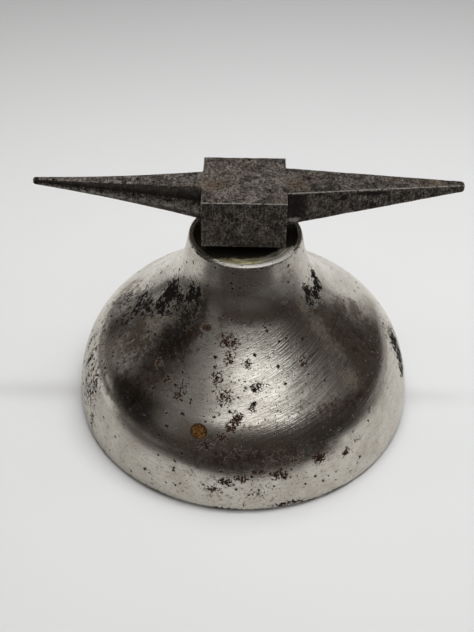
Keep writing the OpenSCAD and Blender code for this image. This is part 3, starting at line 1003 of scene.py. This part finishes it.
def tint_places(points):
    """Where rust tints the top: by the round horn's root, by the square horn's root and near its tip."""
    x, y, z = points.T
    by_round = blot((x, -6.5, 3.0), (y, -2.0, 1.4))
    by_square = blot((x, 10.0, 1.8), (y, -1.5, 1.8))
    by_tip = 0.7 * blot((x, 37.5, 2.5))
    return np.maximum.reduce([by_round, by_square, by_tip]) * (z > FACE_Z - 0.5)


def even_mesh(piece):
    """Turns a piece into an even mesh that keeps to its old surface."""
    pattern = new_object("pattern", piece.data.copy())
    remesh = piece.modifiers.new("even", "REMESH")
    remesh.mode = "VOXEL"
    remesh.voxel_size = STAKE_VOXEL * MM
    remesh.use_smooth_shade = True
    wrap = piece.modifiers.new("wrap", "SHRINKWRAP")
    wrap.target = pattern
    wrap.wrap_method = "NEAREST_SURFACEPOINT"
    apply_modifiers(piece)
    bpy.data.objects.remove(pattern)


def make_stake():
    """Block, horns, waist and tang as one forging with small rounded, uneven edges."""
    block_low = FACE_Z - BLOCK_H
    block = box_mesh((BLOCK_LEFT, BLOCK_FRONT, block_low), (BLOCK_RIGHT, -BLOCK_FRONT, FACE_Z))
    half_waist = WAIST_W / 2
    waist = box_mesh((-half_waist, -half_waist, FLANGE_Z), (half_waist, half_waist, block_low + OVERLAP))
    root_widening = 0.07
    tang = square_prism(TANG_W + root_widening, TANG_TIP_W, FLANGE_Z + OVERLAP, TANG_L + OVERLAP)
    stake = add_piece("stake", *block, "stake", ["double_horn_stake"], "stake_steel")
    for name, solid in (("horn_round", round_horn()), ("horn_square", square_horn()),
                        ("waist", waist), ("tang", tang)):
        combine(stake, name, solid, "UNION")
    bevel_edges(stake, STAKE_EDGE, 3, 40)
    even_mesh(stake)

    edge = edge_strength(stake)
    points, normals = vertex_points(stake), vertex_values(stake, "normal")
    dents = np.clip(waves(points, 2.2, 14, 3), 0, 2) * edge
    flats = waves(points, 6.0, 12, 5)
    depth = 0.03 * dents + 0.01 * (flats + 1.2)
    points -= normals * np.maximum(depth, 0)[:, None]
    move_vertices(stake, np.clip(points, np.array(stake_low), np.array(stake_high)))
    near_top = np.clip((points[:, 2] - FACE_Z + 1.5) / 1.0, 0, 1)
    set_attribute(stake, "edge", edge * (0.84 + 0.16 * near_top))
    on_square_horn = points[:, 0] > BLOCK_RIGHT
    # How much each face looks up, for the painted light on the tops and for fewer bright flecks there; less
    # on the square horn
    set_attribute(stake, "top", np.clip(normals[:, 2], 0, 1) * np.where(on_square_horn, 0.55, 0.92))
    set_attribute(stake, "bare", bare_places(points))
    set_attribute(stake, "soot_and_shade", soot_and_shade_places(points))
    set_attribute(stake, "tint", tint_places(points))
    stake.data.shade_smooth()
    dress(stake, stake_material())


# ---- inside and under the bell

def make_socket():
    """The brass socket: flange, body with its square hole, and threaded spigot."""
    body_low = FLANGE_Z - TANG_L - SOCKET_FLOOR
    chamfer = 0.15
    profile = [(SOCKET_R, body_low), (SOCKET_R, FLANGE_Z - FLANGE_T), (FLANGE_R, FLANGE_Z - FLANGE_T),
               (FLANGE_R, FLANGE_Z - chamfer), (FLANGE_R - chamfer, FLANGE_Z)]
    socket = add_piece("socket", *stacked_disc(profile, 160), "base", ["neck_socket"], "socket_brass")
    hole_depth = TANG_L + TANG_END_GAP
    hole_w = TANG_W + 2 * TANG_CLEARANCE
    hole = square_prism(hole_w + TANG_SLOPE, hole_w - hole_depth * TANG_SLOPE,
                        FLANGE_Z + OVERLAP, hole_depth + OVERLAP)
    combine(socket, "hole", hole, "DIFFERENCE")
    runout_length = 0.6

    def threaded(turn, r, z):
        along = (z / THREAD_PITCH - turn / (2 * math.pi)) % 1.0
        groove = THREAD_DEPTH * (1 - np.abs(2 * along - 1))
        runout = np.clip((z - socket_low.z) / runout_length, 0, 1)
        return np.minimum(r - groove * (r > 1), SPIGOT_R - runout_length * (1 - runout))

    levels = np.arange(socket_low.z, body_low + 0.5, THREAD_PITCH / 14)
    spigot = [(1.0, socket_low.z)] + [(SPIGOT_R, z) for z in levels]
    combine(socket, "thread", stacked_disc(spigot, 96, threaded), "UNION")
    bevel_edges(socket, 0.08, 2, 55)
    dress(socket, brass_material())


def turned_piece(name, outline, segments, node, slot, look, radius_at=None, smooth=True):
    """A ring under the bell in turned steel. Look: bright and dull colour, ring width and roughness."""
    verts, faces = ring_grid(outline, segments, radius_at)
    piece = add_piece(name, verts, faces, "base", [node], slot, smooth=smooth)
    dress(piece, turned_steel(f"{name}_steel", *look))


def make_plate():
    """The plate that closes the mouth, with its recess for the nut."""
    web_low = plate_high.z - PLATE_WEB_T
    corners = [(SPIGOT_HOLE_R, web_low), (NUT_RECESS_R, web_low), (NUT_RECESS_R, plate_low.z),
               (PLATE_R, plate_low.z), (PLATE_R, plate_high.z), (SPIGOT_HOLE_R, plate_high.z)]
    look = (0.4, 0.39, 0.37), (0.22, 0.2, 0.18), 0.35, 0.3
    turned_piece("plate", rounded(corners, 0.4), 192, "base_plate", "plate_steel", look)


def make_washer():
    """A stamped washer with soft edges."""
    corners = [(SPIGOT_HOLE_R, washer_low.z), (WASHER_R, washer_low.z),
               (WASHER_R, washer_high.z), (SPIGOT_HOLE_R, washer_high.z)]
    look = (0.46, 0.45, 0.43), (0.25, 0.23, 0.21), 0.5, 0.32
    turned_piece("washer", rounded(corners, 0.3), 128, "clamp_washer", "fastener_steel", look)


def make_nut():
    """A hexagonal nut whose corners are turned off in curves on its outer face."""
    flat = nut_high.y
    corner = flat / math.cos(math.radians(30))
    turned_r = 0.97 * flat

    def hexagonal(turn, r, z):
        from_corner = math.pi / 6 - np.abs((turn + math.pi / 6) % (math.pi / 3) - math.pi / 6)
        turned_off = turned_r + (z - nut_low.z) / math.tan(math.radians(30))
        outer = np.minimum(flat / np.cos(from_corner), np.maximum(turned_off, 0.5))
        return np.where(r > SPIGOT_R + 1.2, outer * (r / corner), r)

    heights = np.concatenate([np.linspace(0, 0.9, 10), np.linspace(1.3, nut_high.z - nut_low.z, 6)])
    chamfer = 0.5
    outline = [(SPIGOT_HOLE_R + chamfer, nut_low.z)] + [(corner * k, nut_low.z) for k in (0.8, 0.9, 0.97)]
    outline += [(corner, nut_low.z + h) for h in heights]
    outline += [(corner * 0.8, nut_high.z), (SPIGOT_HOLE_R, nut_high.z), (SPIGOT_HOLE_R, nut_low.z + chamfer)]
    look = (0.36, 0.35, 0.34), (0.16, 0.15, 0.14), 0.4, 0.35
    turned_piece("nut", outline, 192, "clamp_nut", "fastener_steel", look, hexagonal, smooth=False)


def make_pad():
    """The leather ring, with soft edges and a slightly uneven face."""
    corners = [(PAD_HOLE_R, 0.0), (PAD_R, 0.0), (PAD_R, pad_high.z), (PAD_HOLE_R, pad_high.z)]
    steps = 5
    outline = rounded(corners, 0.5, steps)
    face = [np.array((r, 0.0)) for r in np.linspace(PAD_HOLE_R + 1, PAD_R - 1, 40)]
    outline[steps + 1:steps + 1] = face
    verts, faces = ring_grid(outline, 256)
    pad = add_piece("pad", verts, faces, "base", ["base_pad"], "pad_leather")
    points = vertex_points(pad)
    lift = 0.04 * (1 + waves(points, 5.0, 12, 9) / 2)
    points[:, 2] = np.where(points[:, 2] < 0.3, points[:, 2] + np.clip(lift, 0, 0.1), points[:, 2])
    points[:, 2] -= points[:, 2].min()
    move_vertices(pad, points)
    dress(pad, leather_material())


# ---- stage, light and camera

# Half the floor's width and the dome's radius, in metres, and how far the mirrored floor lies above the other
FLOOR_HALF = 3.0
DOME_R = 2.9
MIRROR_LIFT = 0.05 * MM


def stage_plane(name, height):
    """A wide level square of the studio."""
    mesh = bpy.data.meshes.new(name)
    corners = [(x * FLOOR_HALF, y * FLOOR_HALF, height) for x, y in ((-1, -1), (1, -1), (1, 1), (-1, 1))]
    mesh.from_pydata(corners, [], [(0, 1, 2, 3)])
    made = new_object(name, mesh)
    return made


def make_floor():
    """A pale floor with painted shade that darkens it a little far behind, where the light falls off. The
    metal mirrors the other floor instead.
    """
    floor = stage_plane("floor", 0.0)
    material, g, place = new_material("floor_pale")
    # Painted shade: darker far behind, where the light falls off
    painted_falloff_behind = g.step(g.split(place)[1], 40.0, 300.0)
    near = g.mix(g.noise(place, 0.02, detail=2.0), (0.79, 0.798, 0.808), (0.815, 0.823, 0.833))
    g.surface(Base_Color=g.mix(painted_falloff_behind, near, (0.52, 0.53, 0.54)), Roughness=0.9)
    dress(floor, material)
    floor.visible_glossy = False


def make_floor_in_reflections():
    """The floor that the polished steel mirrors: a table, with a dark room beyond its front edge."""
    floor = stage_plane("floor_in_reflections", MIRROR_LIFT)
    material, g, place = new_material("floor_reflected")
    x, y, _ = g.split(place)

    def near(point, low, high, out_low=0.0, out_high=1.0):
        return g.step(g.vector("DISTANCE", place, point), low, high, out_low, out_high)

    # The table's front edge lies further forward at both sides, and further back at one place on the right
    curve = g.times(g.math("POWER", g.math("ABSOLUTE", x), 4.0), 2.3e-7)
    dip = near((74.0, -62.0, 0.0), 42.0, 10.0, 0.0, 15.0)
    table = g.step(g.minus(g.plus(y, curve), dip), -78.0, -56.0)
    beside = g.times(g.step(y, -88.0, -70.0), g.step(x, -215.0, -145.0, 0.12, 1.0))
    far_left = g.most(g.step(x, -240.0, -60.0, 0.1, 0.95), beside)
    narrowed = g.join(g.times(x, 0.7), y, 0.0)
    off_patch = g.step(g.vector("DISTANCE", narrowed, (-69.0, -62.0, 0.0)), 24.0, 47.0, 0.1, 1.0)
    table = g.times(table, far_left, off_patch)

    # Painted light and shade on the mirrored table: lighter behind and at a spot on the left, darker towards
    # the right
    pale = g.mix(g.step(x, -70.0, 60.0), (0.62, 0.61, 0.58), (0.74, 0.73, 0.7))
    pale = g.coats(pale, (g.step(y, 0.0, 60.0), 1.0, (0.84, 0.83, 0.8)),
                   (near((-118.0, 0.0, 0.0), 55.0, 18.0), 1.0, (0.9, 0.89, 0.86)))
    painted_shade_right = g.plus(g.step(y, 60.0, 0.0, 0.0, 0.6), g.step(y, -15.0, -65.0, 0.0, 0.2))
    pale = g.scaled(pale, g.minus(1.0, g.times(g.step(x, 95.0, 150.0), painted_shade_right)))
    dark = g.mix(g.step(y, -90.0, -170.0), (0.05, 0.042, 0.036), (0.082, 0.066, 0.061))
    g.surface(Base_Color=g.mix(table, dark, pale), Roughness=0.9)
    dress(floor, material)
    floor.visible_camera = False
    floor.visible_diffuse = False
    floor.visible_shadow = False


def make_backdrop():
    """A pale dome that only the camera sees, so that every view has a plain background."""
    bm = bmesh.new()
    bmesh.ops.create_uvsphere(bm, u_segments=64, v_segments=32, radius=DOME_R)
    mesh = bpy.data.meshes.new("backdrop")
    bm.to_mesh(mesh)
    bm.free()
    dome = new_object("backdrop", mesh)
    material, g, _ = new_material("backdrop_pale")
    g.shine("ShaderNodeEmission", "ShaderNodeOutputMaterial", Color=(0.62, 0.62, 0.6, 1.0))
    dress(dome, material)
    for flag in ("visible_diffuse", "visible_glossy", "visible_transmission", "visible_shadow"):
        setattr(dome, flag, False)


def toward(g, direction, azimuth, elevation, inner, outer):
    """1 within the inner angle of a far direction, 0 outside the outer. Azimuth is from the front to +X."""
    a, e = math.radians(azimuth), math.radians(elevation)
    centre = (math.sin(a) * math.cos(e), -math.cos(a) * math.cos(e), math.sin(e))
    along = g.vector("DOT_PRODUCT", direction, centre)
    return g.step(along, math.cos(math.radians(outer)), math.cos(math.radians(inner)))


def sine(degrees):
    """The upward part of a direction at an elevation."""
    return math.sin(math.radians(degrees))


# The room's colours, and its small lights: azimuth and elevation, inner and outer angle, brightness
ROOM = (0.06, 0.0485, 0.041)
ROOM_SHADE = (0.018, 0.0165, 0.015)
ROOM_WHITE = (1.0, 0.995, 0.955)
ROOM_LIGHTS = [
    (88, 38, 2, 14, 0.05), (-115, 24, 4, 17, 0.2), (-48, 28, 5, 19, 0.075), (-106, 3, 2, 11, 0.1),
]


def window_light(g, azimuth, up):
    """A wide soft window high in front, whose top edge is lower towards the right."""
    wide = g.times(g.step(azimuth, math.radians(-50), math.radians(10)),
                   g.step(azimuth, math.radians(88), math.radians(42)))
    lowered = g.plus(up, g.step(azimuth, math.radians(30), math.radians(60), 0.0, 0.14))
    tall = g.times(g.step(up, sine(40.5), sine(52)), g.step(lowered, sine(78), sine(57)))
    return g.times(wide, tall, 1.18)


def make_world():
    """What the metal mirrors above the floor: a dim room with the window, small lights and a pale horizon."""
    world = bpy.data.worlds.new("studio")
    bpy.context.scene.world = world
    world.use_nodes = True
    g = Graph(world.node_tree)
    direction = g.node("ShaderNodeTexCoord").outputs["Generated"]
    right, back, up = g.split(direction)
    azimuth = g.math("ARCTAN2", right, g.times(back, -1.0))
    shade_left = toward(g, direction, -79, 18, 13, 24)
    shade_right = g.times(toward(g, direction, 58, 8, 6, 22), 0.55)
    room = g.mix(g.most(shade_left, shade_right), ROOM, ROOM_SHADE)
    glow = g.times(toward(g, direction, 15, 62, 10, 60), g.step(up, 0.45, 0.75, 0.0, 0.24))
    horizon = g.times(g.step(back, -0.3, 0.45, 0.0, 0.45), g.step(up, 0.12, 0.01), g.minus(1.0, shade_left))
    pale = g.plus(window_light(g, azimuth, up), glow, horizon)
    for *cone, brightness in ROOM_LIGHTS:
        pale = g.line(toward(g, direction, *cone), brightness, pale)
    light = g.vector("ADD", room, g.scaled(ROOM_WHITE, pale))
    g.shine("ShaderNodeBackground", "ShaderNodeOutputWorld", Color=light)


def make_lamp(name, place, size, energy, target=None):
    """A soft rectangular lamp that isn't mirrored in the metal. It points down, or at the target."""
    data = bpy.data.lights.new(name, "AREA")
    data.shape = "RECTANGLE"
    data.size, data.size_y = size
    data.energy = energy
    data.color = (1.0, 0.998, 0.995)
    lamp = new_object(name, data)
    lamp.location = place
    if target:
        lamp.rotation_euler = (Vector(target) - lamp.location).to_track_quat("-Z", "Y").to_euler()
    lamp.visible_glossy = False
    lamp.visible_camera = False


def make_camera():
    """The camera at the photograph's viewing angle. Angles in degrees, place in mm."""
    yaw, pitch, roll = -0.43, 41.07, 0.68
    place = Vector((-0.39, -160.46, 160.91))
    data = bpy.data.cameras.new("camera")
    data.lens = 54.06
    data.sensor_width = 36.0
    data.clip_start = 0.01
    camera = new_object("camera", data)
    turn = Matrix.Identity(4)
    for degrees, axis in ((-yaw, "Z"), (90 - pitch, "X"), (roll, "Z")):
        turn = turn @ Matrix.Rotation(math.radians(degrees), 4, axis)
    camera.matrix_world = Matrix.Translation(place * MM) @ turn
    bpy.context.scene.camera = camera


# ---- build

make_camera()
make_bell()
make_stake()
make_socket()
make_plate()
make_washer()
make_nut()
make_pad()
dress(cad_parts["ballast"], cast_material())
make_floor()
make_floor_in_reflections()
make_backdrop()
make_world()
make_lamp("overhead", (0.03, 0.05, 0.42), (0.35, 0.35), 1.1, target=(0.0, 0.04, 0.0))
make_lamp("tube", (0.09, 0.026, 0.46), (0.4, 0.03), 0.66)
bpy.context.scene.view_settings.view_transform = "Standard"
